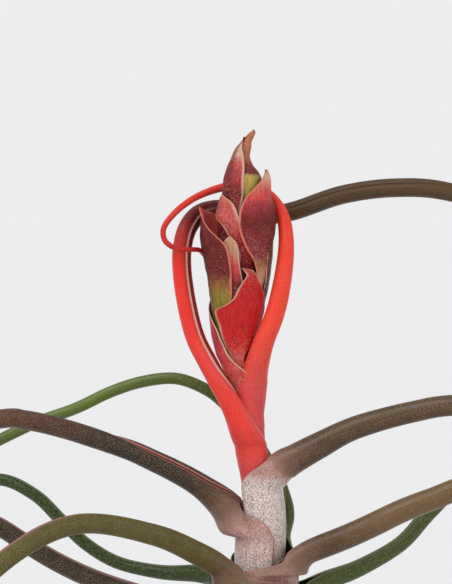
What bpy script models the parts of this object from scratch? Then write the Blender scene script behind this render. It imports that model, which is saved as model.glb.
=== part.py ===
"""A bulbous air plant in bud: nested leaf sheaths make a hollow bulb on a short stem, their rolled blades
arch out like wires, two red leaves loop round the flower spike, and the spike carries pointed bracts.

Lengths in this file are millimetres, angles are degrees, and each mesh is written in metres.
+Z is up, the viewer stands at -Y, and the origin is the middle of the flat foot that the plant stands on.
"""

import math
from dataclasses import dataclass

import bmesh
import bpy
from mathutils import Vector

MM = 0.001

# The wall of a leaf and the air between two nested sheaths.
WALL = 0.6
GAP = 0.3
LAYER = WALL + GAP

# The bulb: every sheath swells by the same amount over its radius at the neck: (height, swell).
BELLY_HEIGHT = 19.0
SWELL = ((BELLY_HEIGHT, 7.0), (28.0, 5.3), (37.0, 2.1), (46.0, 0.0))
NECK_STATIONS = (61.0, 68.0, 75.0, 82.0)
INNERMOST_NECK_RADIUS = 1.75
LOWEST_BULB_POINT = 1.0
OUTERMOST_LAYER = 11

# A sheath wraps round the bulb in flat facets, which line up from layer to layer, and narrows at its mouth.
FACET = 20.0
SHEATH_FACETS = 12
BLADE_FACETS = 8
UNDERSIDE_STATIONS = (-42.0, 0.0)
SHORTEST_SPAN = 1.0
ROOT_ANGLE_STEP = 0.5

# A rolled blade closes this far round on each side, which leaves the slit along its upper side.
BLADE_WRAP = 160.0
THINNEST_SHARE = 0.55

# In its throat a sheath turns into a blade: its length, and the shares of it where each change starts and ends.
THROAT_LENGTH_BY_RADIUS = 1.15
SHORTEST_THROAT = 3.5
THROAT_RINGS = 4
THROAT_ROOM = 1.11
TURNS = (0.2, 1.0)
NARROWS = (0.0, 0.95)
CLOSES = (0.44, 1.06)
MOUTH_DEPTH = 2.0

# The shares of a blade's length at which its outer radius is given.
GIRTH_PLACES = (0.0, 0.22, 0.72, 1.0)

# A blade has a ring at each such length, and more of them where it bends: a radian counts as so much length.
BLADE_RING_STEP = 11.5
BEND_LENGTH = 13.0
CURVE_STEPS = 20

# The short stem, its flat foot and the flower stalk inside the neck: (height, radius).
STEM_PROFILE = (
    (0.0, 5.0), (1.2, 5.2), (2.6, 4.6), (5.0, 3.8), (8.0, 2.7), (11.0, 1.9), (14.0, 1.4),
    (30.0, 1.35), (50.0, 1.35), (66.0, 1.3), (76.0, 1.3), (84.0, 1.4), (88.0, 1.8), (93.0, 2.6),
    (99.0, 3.3), (106.0, 3.9), (113.0, 3.9), (119.0, 2.9), (124.0, 1.6), (127.0, 0.7),
)
STEM_SIDES_RESOLUTION = 4

# How far the bracts reach from the spike's middle beside the right-hand red leaf: (height, radius).
SPIKE_SIDE = (
    (82.0, 1.5), (88.0, 2.5), (93.0, 3.2), (97.0, 4.0), (101.0, 4.9),
    (112.0, 5.4), (118.0, 4.6), (124.0, 2.5),
)

# Where the middle of the neck and spike lies, along X: (height, offset from the bulb's axis).
LEAN = (
    (46.0, 0.0), (61.0, 0.6), (68.0, 0.0), (75.0, -1.3), (82.0, -1.7), (88.0, -2.7), (93.0, -3.5),
    (98.0, -3.7), (112.0, -3.6), (118.0, -3.3), (124.0, -2.4), (132.0, -1.0),
)


@dataclass
class Leaf:
    """One leaf. The route is the middle of its rolled blade, from where it leaves the neck to its tip."""

    name: str
    layer: int
    azimuth: float
    leaves_neck_at: float
    girth: tuple
    colour: str
    route: tuple


@dataclass
class Bract:
    """One pointed bract of the spike. It hugs the stalk at its root and stands out most at its belly."""

    azimuth: float
    root: float
    belly: float
    reach: float
    wrap: float
    tip: tuple


LEAVES = (
    Leaf(
        "red_leaf_right", 0, 20, 84.0, (2.2, 1.75, 0.75, 0.5), "red",
        (
            (-0.8, -1.7, 87.4), (0.6, -2.8, 90.6), (1.6, -3.1, 94.0), (2.7, -2.8, 97.6),
            (3.6, -2.3, 101.2), (4.4, -1.6, 106.6), (4.7, -0.6, 112.0), (4.0, 1.8, 116.6),
            (1.6, 5.0, 120.1), (-1.8, 6.9, 121.6), (-4.5, 7.0, 121.9), (-7.2, 5.6, 121.4),
            (-9.9, 2.9, 120.5), (-12.6, -0.4, 119.1), (-15.3, -2.6, 116.9), (-17.2, -4.0, 114.3),
            (-17.0, -4.5, 112.0), (-15.1, -4.5, 110.6), (-12.9, -3.9, 110.4), (-11.0, -1.9, 110.3),
            (-10.4, 1.0, 109.6), (-9.6, 3.6, 108.0),
        ),
    ),
    Leaf(
        "red_leaf_left", 1, 240, 75.0, (2.5, 1.75, 1.7, 0.6), "red",
        (
            (-2.8, -1.6, 79.6), (-5.3, -2.2, 83.4), (-7.4, -2.2, 86.6), (-9.5, -1.8, 90.4),
            (-11.6, -1.0, 94.6), (-13.1, -0.2, 100.3), (-14.0, 0.6, 106.6), (-13.9, 1.3, 111.0),
            (-12.8, 2.8, 114.6), (-10.4, 6.0, 117.0), (-6.0, 9.4, 117.6), (0.4, 10.6, 116.6),
            (6.0, 9.2, 117.2), (15.3, 7.0, 120.3), (25.0, 5.0, 121.5), (34.6, 3.5, 120.7),
            (50.0, 2.0, 116.0), (68.0, 2.0, 106.5), (84.0, 4.0, 93.0), (95.0, 7.0, 77.5),
            (98.0, 10.0, 63.0), (92.0, 12.0, 53.0),
        ),
    ),
    Leaf(
        "leaf_01", 2, -20, 66.0, (2.6, 1.9, 1.7, 0.5), "bronze",
        (
            (2.6, -0.9, 69.4), (6.6, -1.8, 72.3), (10.8, -2.6, 75.4), (15.8, -3.4, 78.0),
            (21.0, -4.0, 79.8), (27.5, -5.0, 81.5), (34.6, -6.0, 82.7), (50.0, -8.0, 83.0),
            (68.0, -11.0, 79.0), (86.0, -14.0, 70.0), (100.0, -17.0, 57.0), (108.0, -20.0, 43.0),
            (109.0, -24.0, 32.0), (103.0, -28.0, 26.0),
        ),
    ),
    Leaf(
        "leaf_02", 3, 160, 57.0, (2.4, 1.9, 1.6, 0.5), "bronze",
        (
            (-2.9, 1.0, 60.2), (-6.5, 0.9, 63.8), (-11.0, 0.2, 67.4), (-15.1, -0.4, 70.1),
            (-19.3, -1.2, 72.5), (-23.4, -1.8, 74.4), (-30.2, -3.0, 76.8), (-35.8, -4.0, 78.6),
            (-41.9, -5.0, 80.0), (-46.8, -6.0, 80.2), (-64.0, -9.0, 77.0), (-82.0, -12.0, 67.0),
            (-98.0, -15.0, 52.0), (-108.0, -17.0, 38.0), (-117.0, -16.0, 30.0),
        ),
    ),
    Leaf(
        "leaf_03", 4, 60, 54.4, (2.0, 1.2, 1.1, 0.4), "green",
        (
            (3.0, 4.6, 57.6), (4.8, 7.6, 61.4), (5.4, 9.4, 65.4), (3.2, 10.6, 70.6),
            (-1.8, 11.2, 77.0), (-5.8, 11.8, 81.8), (-9.5, 12.4, 84.9), (-15.1, 13.0, 87.1),
            (-21.4, 14.0, 86.5), (-27.5, 15.0, 84.3), (-34.0, 15.6, 81.0), (-43.7, 16.0, 77.1),
            (-58.0, 17.0, 69.0), (-72.0, 18.0, 56.0), (-84.0, 20.0, 40.0), (-92.0, 23.0, 26.0),
            (-101.0, 27.0, 19.0),
        ),
    ),
    Leaf(
        "leaf_04", 5, -20, 52.0, (2.4, 2.1, 1.6, 0.6), "bronze",
        (
            (4.6, -1.6, 54.4), (9.4, -3.0, 56.6), (15.3, -4.2, 59.0), (19.8, -5.0, 61.1),
            (25.2, -5.8, 63.8), (30.6, -6.6, 66.0), (38.0, -8.0, 68.8), (50.0, -10.0, 70.5),
            (66.0, -13.0, 66.0), (82.0, -16.0, 54.0), (94.0, -19.0, 38.0), (102.0, -22.0, 22.0),
            (109.0, -25.0, 8.0), (116.0, -28.0, 2.0), (126.0, -31.0, 0.95),
        ),
    ),
    Leaf(
        "leaf_05", 6, 220, 49.6, (2.4, 2.0, 1.6, 0.6), "bronze",
        (
            (-4.6, -3.7, 52.0), (-10.5, -8.6, 55.4), (-19.0, -15.0, 59.0), (-31.7, -23.0, 61.3),
            (-43.0, -30.0, 57.0), (-54.0, -36.0, 47.0), (-62.0, -41.0, 33.0), (-68.0, -45.0, 18.0),
            (-73.0, -48.0, 6.5), (-80.0, -51.0, 1.8), (-89.0, -55.0, 0.95),
        ),
    ),
    Leaf(
        "leaf_06", 7, 140, 47.4, (2.2, 1.3, 1.2, 0.4), "green",
        (
            (-4.6, 4.0, 49.6), (-10.5, 8.3, 51.2), (-18.0, 11.5, 51.6), (-26.0, 13.5, 53.5),
            (-32.0, 14.6, 57.2), (-36.6, 15.5, 61.6), (-41.4, 16.5, 66.1), (-48.0, 18.0, 68.8),
            (-56.0, 20.0, 66.5), (-64.0, 22.0, 58.0), (-70.0, 25.0, 46.0), (-76.0, 29.0, 33.0),
            (-84.0, 33.0, 22.0), (-95.0, 37.0, 17.0),
        ),
    ),
    Leaf(
        "leaf_07", 8, 40, 45.2, (2.2, 1.5, 1.3, 0.4), "green",
        (
            (5.6, 4.7, 47.4), (12.0, 9.2, 49.6), (18.5, 11.5, 51.8), (26.0, 13.0, 56.0),
            (31.0, 14.0, 61.3), (36.0, 15.0, 66.0), (44.0, 16.5, 71.5), (56.0, 18.5, 74.5),
            (70.0, 21.0, 71.0), (84.0, 24.0, 60.0), (94.0, 28.0, 46.0), (100.0, 33.0, 32.0),
            (104.0, 39.0, 20.0),
        ),
    ),
    Leaf(
        "leaf_08", 9, 180, 43.0, (2.3, 1.9, 1.5, 0.5), "bronze",
        (
            (-6.8, -0.6, 45.2), (-14.0, -2.4, 46.6), (-21.0, -4.5, 48.5), (-29.0, -7.0, 51.5),
            (-36.0, -9.0, 55.0), (-42.0, -10.5, 58.8), (-47.0, -11.5, 62.0), (-55.0, -13.0, 65.0),
            (-64.0, -15.0, 64.0), (-74.0, -17.0, 57.0), (-83.0, -19.0, 46.0), (-91.0, -21.0, 33.0),
            (-99.0, -23.0, 22.0), (-109.0, -24.0, 17.0),
        ),
    ),
    Leaf(
        "leaf_09", 10, -80, 41.0, (2.4, 1.9, 1.5, 0.6), "bronze",
        (
            (1.2, -7.0, 43.2), (2.5, -14.5, 44.9), (4.4, -23.0, 46.4), (7.0, -33.0, 46.0),
            (10.0, -44.0, 41.5), (14.0, -55.0, 32.5), (18.5, -64.0, 20.5), (23.0, -71.0, 9.5),
            (28.5, -77.0, 2.6), (37.0, -83.0, 0.95),
        ),
    ),
    Leaf(
        "leaf_10", 11, 100, 39.2, (2.4, 1.9, 1.5, 0.6), "green",
        (
            (-1.3, 7.5, 41.4), (-2.6, 15.5, 43.2), (-4.4, 25.0, 44.6), (-6.0, 36.0, 44.0),
            (-7.0, 48.0, 39.0), (-8.0, 59.0, 29.5), (-9.5, 68.0, 17.5), (-12.0, 75.0, 7.5),
            (-16.0, 81.0, 2.2), (-23.0, 88.0, 0.95),
        ),
    ),
)

# From the lowest bract to the topmost one.
BRACTS = (
    Bract(100, 85.5, 100.0, 5.7, 105, (-2.5, 5.0, 113.0)),
    Bract(-97, 87.0, 99.5, 6.1, 66, (-3.4, -6.2, 107.2)),
    Bract(197, 88.0, 105.0, 5.9, 66, (-10.9, -1.8, 117.8)),
    Bract(-112, 90.0, 104.5, 5.0, 50, (-5.4, -5.2, 112.6)),
    Bract(-30, 92.0, 106.0, 5.5, 66, (0.4, -5.2, 115.3)),
    Bract(222, 97.0, 112.0, 4.8, 66, (-6.7, -3.6, 120.1)),
    Bract(-12, 100.0, 115.0, 5.9, 76, (1.4, -2.0, 124.3)),
    Bract(0, 106.0, 118.0, 3.6, 105, (-1.3, 0.2, 129.2)),
    Bract(170, 105.0, 117.5, 4.3, 105, (-1.0, 0.0, 131.8)),
)
BRACT_FACETS = 6
BRACT_RINGS = 7
BRACT_ROUNDNESS = 0.78
BRACT_TIP_RADIUS = 1.2
BRACT_ROOT_DEPTH = 0.7
BRACT_WALL = 0.6

# Above its belly a bract leans out to its tip and narrows to this half-angle: the powers give its outline.
BRACT_TIP_WRAP = 12.0
TIP_LEAN_POWER = 1.7
OUTLINE_POWERS = (1.8, 0.75)

# Plain colours of the finished pieces.
COLOURS = {
    "red": (0.80, 0.05, 0.05),
    "bronze": (0.10, 0.07, 0.045),
    "green": (0.10, 0.19, 0.03),
    "bract": (0.42, 0.04, 0.06),
}
LEAF_ROUGHNESS = 0.45


def smooth(x):
    """0 below 0, 1 above 1, and an even S between them."""
    x = min(1.0, max(0.0, x))
    return x * x * (3 - 2 * x)


def ramp(x, span):
    """0 before the span, 1 after it, and an even S along it."""
    start, end = span
    return smooth((x - start) / (end - start))


def mix(a, b, share):
    return a + (b - a) * share


def table_value(table, x):
    """The value at x of a table of (x, value) pairs, on straight lines between them."""
    if x <= table[0][0]:
        return table[0][1]
    for (x0, v0), (x1, v1) in zip(table, table[1:]):
        if x <= x1:
            return mix(v0, v1, (x - x0) / (x1 - x0))
    return table[-1][1]


def radial(azimuth):
    return Vector((math.cos(math.radians(azimuth)), math.sin(math.radians(azimuth)), 0))


def neck_middle(height):
    return Vector((table_value(LEAN, height), 0, height))


def smooth_line(points, step, bend_length=0.0):
    """A curve through the points, read at even steps: a list of (place, direction, length so far)."""
    points = [Vector(p) for p in points]
    ends = [2 * points[0] - points[1], *points, 2 * points[-1] - points[-2]]
    dense = []
    for a, b, c, d in zip(ends, ends[1:], ends[2:], ends[3:]):
        for k in range(CURVE_STEPS):
            t = k / CURVE_STEPS
            bend = (2 * a - 5 * b + 4 * c - d) * t**2
            turn = (3 * b - a - 3 * c + d) * t**3
            dense.append(0.5 * (2 * b + (c - a) * t + bend + turn))
    dense.append(points[-1])
    length = [0.0]
    measure = [0.0]
    last = dense[1] - dense[0]
    for a, b in zip(dense, dense[1:]):
        length.append(length[-1] + (b - a).length)
        measure.append(measure[-1] + (b - a).length + bend_length * last.angle(b - a))
        last = b - a
    rings = max(2, round(measure[-1] / step))
    found = []
    k = 0
    for ring in range(rings + 1):
        want = measure[-1] * ring / rings
        while k < len(dense) - 2 and measure[k + 1] < want:
            k += 1
        share = (want - measure[k]) / (measure[k + 1] - measure[k])
        place = dense[k].lerp(dense[k + 1], share)
        found.append((place, (dense[k + 1] - dense[k]).normalized(), mix(length[k], length[k + 1], share)))
    return found


def sheath_radius(layer, height):
    """Inner radius of a sheath at a height above the belly."""
    return INNERMOST_NECK_RADIUS + LAYER * layer + table_value(SWELL, height)


def sheath_stations(layer, top):
    """(height, inner radius) of a sheath's rings, from its root on the stem to where its blade leaves."""
    wide = sheath_radius(layer, BELLY_HEIGHT)
    deep = BELLY_HEIGHT - LOWEST_BULB_POINT - LAYER * (OUTERMOST_LAYER - layer)
    root_angle = -90.0
    clear_of_stem = False
    while not clear_of_stem:
        root_angle += ROOT_ANGLE_STEP
        height = BELLY_HEIGHT + deep * math.sin(math.radians(root_angle))
        radius = wide * math.cos(math.radians(root_angle))
        clear_of_stem = radius > table_value(STEM_PROFILE, height) + GAP
    stations = [
        (BELLY_HEIGHT + deep * math.sin(math.radians(a)), wide * math.cos(math.radians(a)))
        for a in (root_angle, *UNDERSIDE_STATIONS)
    ]
    heights = [height for height, swell in SWELL[1:]] + list(NECK_STATIONS)
    heights = [height for height in heights if height < top - SHORTEST_SPAN]
    return stations + [(height, sheath_radius(layer, height)) for height in (*heights, top)]


def neck_clearance(layer, height):
    """How far from the neck's middle a leaf stays, so that it clears the leaves inside it at that height."""
    inside = [leaf for leaf in LEAVES if leaf.layer < layer and leaf.leaves_neck_at > height - MOUTH_DEPTH]
    if not inside:
        return max(table_value(STEM_PROFILE, height), table_value(SPIKE_SIDE, height)) + GAP
    return sheath_radius(max(leaf.layer for leaf in inside) + 1, height) * THROAT_ROOM


def arc(middle, along, outward, radius, half_angle, facets):
    """Points of an arc round the middle, from one margin of the leaf over its midrib to the other."""
    across = along.cross(outward)
    found = []
    for column in range(facets + 1):
        angle = math.radians(half_angle) * (2 * column / facets - 1)
        found.append(middle + radius * (math.cos(angle) * outward + math.sin(angle) * across))
    return found


def sheet_mesh(name, rings, walls, wall):
    """A sheet through the rings, thickened away from the plant's middle, as one closed body.

    Where a ring has fewer points than the next, the spare columns run together at its two ends.
    """
    sheet = bmesh.new()
    columns = max(len(ring) for ring in rings)
    grid = []
    shares = []
    for ring, share in zip(rings, walls):
        verts = [sheet.verts.new(point * MM) for point in ring]
        spare = (columns - len(ring)) // 2
        grid.append([verts[0]] * spare + verts + [verts[-1]] * spare)
        shares += [share] * len(ring)
    for low, high in zip(grid, grid[1:]):
        for column in range(columns - 1):
            a, b, c, d = low[column], low[column + 1], high[column + 1], high[column]
            for corners in ((a, b, c), (a, c, d)):
                if len(set(corners)) == 3:
                    sheet.faces.new(corners)
    mesh = bpy.data.meshes.new(name)
    sheet.to_mesh(mesh)
    sheet.free()
    piece = bpy.data.objects.new(name, mesh)
    thickness = piece.vertex_groups.new(name="wall")
    for vert, share in enumerate(shares):
        thickness.add((vert,), share, "REPLACE")
    solidify = piece.modifiers.new("wall", "SOLIDIFY")
    solidify.thickness = wall * MM
    solidify.offset = 1.0
    solidify.vertex_group = thickness.name
    return piece


def blade_girth(girth, share):
    """Outer radius of a blade at a share of its length."""
    return table_value(tuple(zip(GIRTH_PLACES, girth)), share)


def leaf_piece(leaf):
    """One leaf: its sheath round the bulb, the throat where it narrows, and its rolled blade."""
    out = radial(leaf.azimuth)
    up = Vector((0, 0, 1))
    rings = []
    walls = []
    for height, radius in sheath_stations(leaf.layer, leaf.leaves_neck_at):
        rings.append(arc(neck_middle(height), up, out, radius, FACET * SHEATH_FACETS / 2, SHEATH_FACETS))
        walls.append(1.0)
    start = neck_middle(leaf.leaves_neck_at)
    neck_radius = sheath_radius(leaf.layer, leaf.leaves_neck_at)
    line = (start, *leaf.route)
    throat = THROAT_LENGTH_BY_RADIUS * neck_radius + SHORTEST_THROAT
    ring_step = throat / THROAT_RINGS
    places = [p for p in smooth_line(line, ring_step)[1:] if p[2] < throat + ring_step / 2]
    blade = smooth_line(line, BLADE_RING_STEP, BEND_LENGTH)
    places += [p for p in blade if p[2] > throat + BLADE_RING_STEP / 2]
    outward = out
    facets = SHEATH_FACETS
    for place, direction, travelled in places:
        share = travelled / throat
        along = up.lerp(direction, ramp(share, TURNS)).normalized()
        outward = (outward - outward.dot(along) * along).normalized()
        girth = blade_girth(leaf.girth, travelled / blade[-1][2])
        wall = min(WALL, THINNEST_SHARE * girth)
        radius = mix(neck_radius, girth - wall, ramp(share, NARROWS))
        facets = max(BLADE_FACETS, facets - 2)
        wrap = mix(FACET * facets / 2, BLADE_WRAP, ramp(share, CLOSES))
        ring = arc(place, along, outward, radius, wrap, facets)
        rings.append([clear_of_neck(leaf.layer, point) for point in ring])
        walls.append(mix(1.0, wall / WALL, smooth(share)))
    return sheet_mesh(leaf.name, rings, walls, WALL)


def clear_of_neck(layer, point):
    """The point, pushed out from the neck's middle where the leaves inside it need the room."""
    if point.z > STEM_PROFILE[-1][0]:
        return point
    middle = neck_middle(point.z)
    away = point - middle
    clearance = neck_clearance(layer, point.z)
    if away.length >= clearance:
        return point
    return middle + away.normalized() * clearance


def bract_piece(name, bract):
    """One bract, as a boat-shaped shell."""
    out = radial(bract.azimuth)
    up = Vector((0, 0, 1))
    tip = Vector(bract.tip)
    root_radius = table_value(STEM_PROFILE, bract.root) - BRACT_ROOT_DEPTH
    reach = bract.reach - BRACT_WALL
    belly_share = (bract.belly - bract.root) / (tip.z - bract.root)
    rings = []
    for ring in range(BRACT_RINGS):
        share = ring / (BRACT_RINGS - 1)
        height = mix(bract.root, tip.z, share)
        if share <= belly_share:
            swell = smooth(share / belly_share)
            rib = neck_middle(height) + out * mix(root_radius, reach, swell)
            radius = mix(root_radius, reach * BRACT_ROUNDNESS, swell)
            wrap = bract.wrap
        else:
            narrowing = (share - belly_share) / (1 - belly_share)
            rib = (neck_middle(height) + out * reach).lerp(tip, narrowing**TIP_LEAN_POWER)
            rib.z = height
            radius = mix(reach * BRACT_ROUNDNESS, BRACT_TIP_RADIUS, narrowing)
            full, sharp = OUTLINE_POWERS
            wrap = bract.wrap * (1 - narrowing**full) ** sharp + BRACT_TIP_WRAP
        rings.append(arc(rib - out * radius, up, out, radius, wrap, BRACT_FACETS))
    return sheet_mesh(name, rings, [1.0] * BRACT_RINGS, BRACT_WALL)


def solid_mesh(piece, weld=0.0):
    """The piece as the viewport shows it, as a plain mesh with its modifiers applied."""
    bpy.context.view_layer.update()
    graph = bpy.context.evaluated_depsgraph_get()
    mesh = bpy.data.meshes.new_from_object(piece.evaluated_get(graph))
    if weld:
        whole = bmesh.new()
        whole.from_mesh(mesh)
        bmesh.ops.remove_doubles(whole, verts=whole.verts, dist=weld)
        whole.to_mesh(mesh)
        whole.free()
    return mesh


def keep_outer_skin(mesh):
    """Drops the closed hollows that a union leaves inside, and keeps the one skin round them."""
    body = bmesh.new()
    body.from_mesh(mesh)
    left = set(body.verts)
    islands = []
    while left:
        island = {left.pop()}
        edge = list(island)
        while edge:
            vert = edge.pop()
            near = {e.other_vert(vert) for e in vert.link_edges} & left
            left -= near
            island |= near
            edge.extend(near)
        islands.append(island)
    islands.sort(key=len)
    for island in islands[:-1]:
        bmesh.ops.delete(body, geom=list(island), context="VERTS")
    body.to_mesh(mesh)
    body.free()


def flower_stem(parts):
    """The stem from its flat foot to the spike's tip, with the bracts joined to it."""
    line = bpy.data.curves.new("flower_stem", "CURVE")
    line.dimensions = "3D"
    line.bevel_depth = MM
    line.bevel_resolution = STEM_SIDES_RESOLUTION
    line.use_fill_caps = True
    spline = line.splines.new("POLY")
    spline.points.add(len(STEM_PROFILE) - 1)
    for point, (height, radius) in zip(spline.points, STEM_PROFILE):
        point.co = (*(neck_middle(height) * MM), 1)
        point.radius = radius
    stalk = bpy.data.objects.new("stalk", line)
    parts.objects.link(stalk)
    stem = bpy.data.objects.new("flower_stem", solid_mesh(stalk, weld=0.01 * MM))
    bpy.data.objects.remove(stalk)
    parts.objects.link(stem)

    bracts = bpy.data.collections.new("bracts")
    bpy.context.scene.collection.children.link(bracts)
    for number, bract in enumerate(BRACTS, 1):
        bracts.objects.link(bract_piece(f"bract_{number}", bract))
    join = stem.modifiers.new("bracts", "BOOLEAN")
    join.operation = "UNION"
    join.operand_type = "COLLECTION"
    join.collection = bracts
    joined = solid_mesh(stem)
    stem.modifiers.remove(join)
    stem.data = joined
    keep_outer_skin(joined)
    for bract in list(bracts.objects):
        bpy.data.objects.remove(bract)
    bpy.data.collections.remove(bracts)
    return stem


def material(name, colour):
    finish = bpy.data.materials.new(name)
    finish.use_nodes = True
    shader = finish.node_tree.nodes["Principled BSDF"]
    shader.inputs["Base Color"].default_value = (*colour, 1)
    shader.inputs["Roughness"].default_value = LEAF_ROUGHNESS
    shader.inputs["Metallic"].default_value = 0.0
    return finish


def main():
    for old in list(bpy.data.objects):
        bpy.data.objects.remove(old)
    parts = bpy.data.collections.new("bulbous_air_plant")
    bpy.context.scene.collection.children.link(parts)
    finishes = {name: material(name, colour) for name, colour in COLOURS.items()}
    stem = flower_stem(parts)
    stem.data.materials.append(finishes["bract"])
    for leaf in LEAVES:
        piece = leaf_piece(leaf)
        piece.data.materials.append(finishes[leaf.colour])
        parts.objects.link(piece)
    for piece in parts.objects:
        piece.data.shade_smooth()


main()
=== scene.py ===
"""The looks of a bulbous air plant in bud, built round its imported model.

Sizes of the plant are in millimetres, angles in degrees, and meshes are written in metres.
The viewer stands at -Y, the plant rests on the floor at z = 0, and the flower spike points up.
"""

import math

import bpy
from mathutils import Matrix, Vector, noise


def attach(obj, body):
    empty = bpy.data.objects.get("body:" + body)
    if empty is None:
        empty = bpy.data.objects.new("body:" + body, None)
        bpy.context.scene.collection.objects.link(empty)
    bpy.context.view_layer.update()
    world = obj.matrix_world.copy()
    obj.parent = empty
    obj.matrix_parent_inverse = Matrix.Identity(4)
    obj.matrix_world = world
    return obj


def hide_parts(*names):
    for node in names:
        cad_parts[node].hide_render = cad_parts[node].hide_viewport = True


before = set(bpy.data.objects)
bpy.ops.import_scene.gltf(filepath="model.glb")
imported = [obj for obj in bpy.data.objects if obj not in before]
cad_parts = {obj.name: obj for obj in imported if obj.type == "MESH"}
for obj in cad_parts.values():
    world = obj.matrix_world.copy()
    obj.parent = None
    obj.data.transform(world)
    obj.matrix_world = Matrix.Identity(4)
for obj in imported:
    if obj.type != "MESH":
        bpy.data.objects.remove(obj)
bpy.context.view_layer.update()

# The studio
# The plant stands on pale seamless paper in an even white room, with one broad soft lamp high at the left
# and a weaker one at the right. The camera looks almost level at the spike, and the bulb is out of view.
MM = 0.001
VIEW_MIDDLE = Vector((-6.1, 0, 102.7)) * MM
VIEW_HEIGHT = 105.1 * MM
CAMERA_DISTANCE = 0.6
CAMERA_TILT = 1.5
SENSOR = 36.0
BACKGROUND = (0.845, 0.845, 0.845, 1)
ROOM_LIGHT = (0.58, 0.58, 0.59, 1)
FLOOR_COLOUR = (0.915, 0.915, 0.915, 1)
FLOOR_SIZE = 60.0
CLIP_NEAR = 0.02
CLIP_FAR = 200.0

lens = bpy.data.cameras.new("camera")
lens.sensor_width = SENSOR
lens.lens = SENSOR * CAMERA_DISTANCE / VIEW_HEIGHT
lens.clip_start = CLIP_NEAR
lens.clip_end = CLIP_FAR
camera = bpy.data.objects.new("camera", lens)
tilt = math.radians(CAMERA_TILT)
back = Vector((0, -math.cos(tilt), math.sin(tilt)))
camera.location = VIEW_MIDDLE + back * CAMERA_DISTANCE
camera.rotation_euler = (-back).to_track_quat("-Z", "Y").to_euler()
bpy.context.scene.collection.objects.link(camera)
bpy.context.scene.camera = camera
bpy.context.scene.view_settings.view_transform = "Standard"


def node(tree, kind, inputs=(), **settings):
    """A new shader node: each input is set to a value, or joined if the value is another node's output."""
    made = tree.nodes.new("ShaderNode" + kind)
    for key, value in settings.items():
        setattr(made, key, value)
    for key, value in dict(inputs).items():
        if isinstance(value, bpy.types.NodeSocket):
            tree.links.new(value, made.inputs[key])
        else:
            made.inputs[key].default_value = value
    return made.outputs[0]


world = bpy.data.worlds.new("studio")
world.use_nodes = True
room = world.node_tree
room.nodes.clear()
seen = room.nodes.new("ShaderNodeLightPath")
backdrop = node(room, "Background", {"Color": BACKGROUND})
glow = node(room, "Background", {"Color": ROOM_LIGHT})
shown = node(room, "MixShader", {0: seen.outputs["Is Camera Ray"], 1: glow, 2: backdrop})
room.links.new(shown, room.nodes.new("ShaderNodeOutputWorld").inputs["Surface"])
bpy.context.scene.world = world

for name, azimuth, height, strength, softness in (
    ("key_lamp", -128, 48, 1.25, 36),
    ("side_lamp", -30, 25, 0.35, 60),
):
    lamp = bpy.data.lights.new(name, "SUN")
    lamp.energy = strength
    lamp.angle = math.radians(softness)
    stand = bpy.data.objects.new(name, lamp)
    turn, rise = math.radians(azimuth), math.radians(height)
    towards = Vector((math.cos(turn) * math.cos(rise), math.sin(turn) * math.cos(rise), math.sin(rise)))
    stand.rotation_euler = towards.to_track_quat("Z", "Y").to_euler()
    bpy.context.scene.collection.objects.link(stand)

floor_mesh = bpy.data.meshes.new("floor")
half = FLOOR_SIZE / 2
corners = [(-half, -half, 0), (half, -half, 0), (half, half, 0), (-half, half, 0)]
floor_mesh.from_pydata(corners, [], [(0, 1, 2, 3)])
floor = bpy.data.objects.new("floor", floor_mesh)
paper = bpy.data.materials.new("floor_paper")
paper.use_nodes = True
grain = node(paper.node_tree, "TexNoise", {"Scale": 900.0, "Detail": 2.0})
bumps = node(paper.node_tree, "Bump", {"Strength": 0.05, "Distance": 0.0002, "Height": grain})
sheet = paper.node_tree.nodes["Principled BSDF"]
sheet.inputs["Base Color"].default_value = FLOOR_COLOUR
sheet.inputs["Roughness"].default_value = 0.9
sheet.inputs["Specular IOR Level"].default_value = 0.0
paper.node_tree.links.new(bumps, sheet.inputs["Normal"])
floor_mesh.materials.append(paper)
bpy.context.scene.collection.objects.link(floor)


# The stem
# A short woody stem with a flat foot carries every leaf, and goes on as the flower stalk through the neck.
# It grew as one piece with the bracts. Its foot is dry and brown, and the stalk is fleshy and red.
STEM_PROFILE = (
    (0.0, 5.0), (1.2, 5.2), (2.6, 4.6), (5.0, 3.8), (8.0, 2.7), (11.0, 1.9), (14.0, 1.4),
    (30.0, 1.35), (50.0, 1.35), (66.0, 1.3), (76.0, 1.3), (84.0, 1.4), (88.0, 1.7), (93.0, 2.4),
    (99.0, 3.0), (106.0, 3.4), (112.0, 3.2), (118.0, 2.3), (122.0, 1.6), (124.5, 0.8),
)
LEAN = (
    (46.0, 0.0), (61.0, 0.6), (68.0, 0.0), (75.0, -1.3), (82.0, -1.75), (88.0, -3.0), (92.0, -3.9),
    (96.0, -4.2), (100.0, -4.1), (106.0, -3.8), (112.0, -3.8), (116.0, -3.5), (120.0, -2.9),
    (124.0, -3.1), (128.0, -2.95), (132.0, -1.4),
)
STEM_RING_STEP = 0.8
STEM_SIDES = 40
SCAR_DEPTH = 0.18
SCARS_FROM = 1.5
SCARS_FADE = 4.0
SCARS_TO = 12.0
SCAR_PITCH = 1.5
KNOT_SHARE = 0.04
KNOTS_ROUND = 3
KNOTS_UP = 0.4
DRY_BROWN = (0.12, 0.075, 0.04)
STALK_RED = (0.42, 0.04, 0.05)
CRACK_BROWN = (0.03, 0.015, 0.01)
UP = Vector((0, 0, 1))


def smooth(x):
    """0 below 0, 1 above 1, and an even S between them."""
    x = min(1.0, max(0.0, x))
    return x * x * (3 - 2 * x)


def ramp(x, start, end):
    """0 at the start, 1 at the end, and an even S between them."""
    return smooth((x - start) / (end - start))


def mix(a, b, share):
    return a + (b - a) * share


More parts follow.
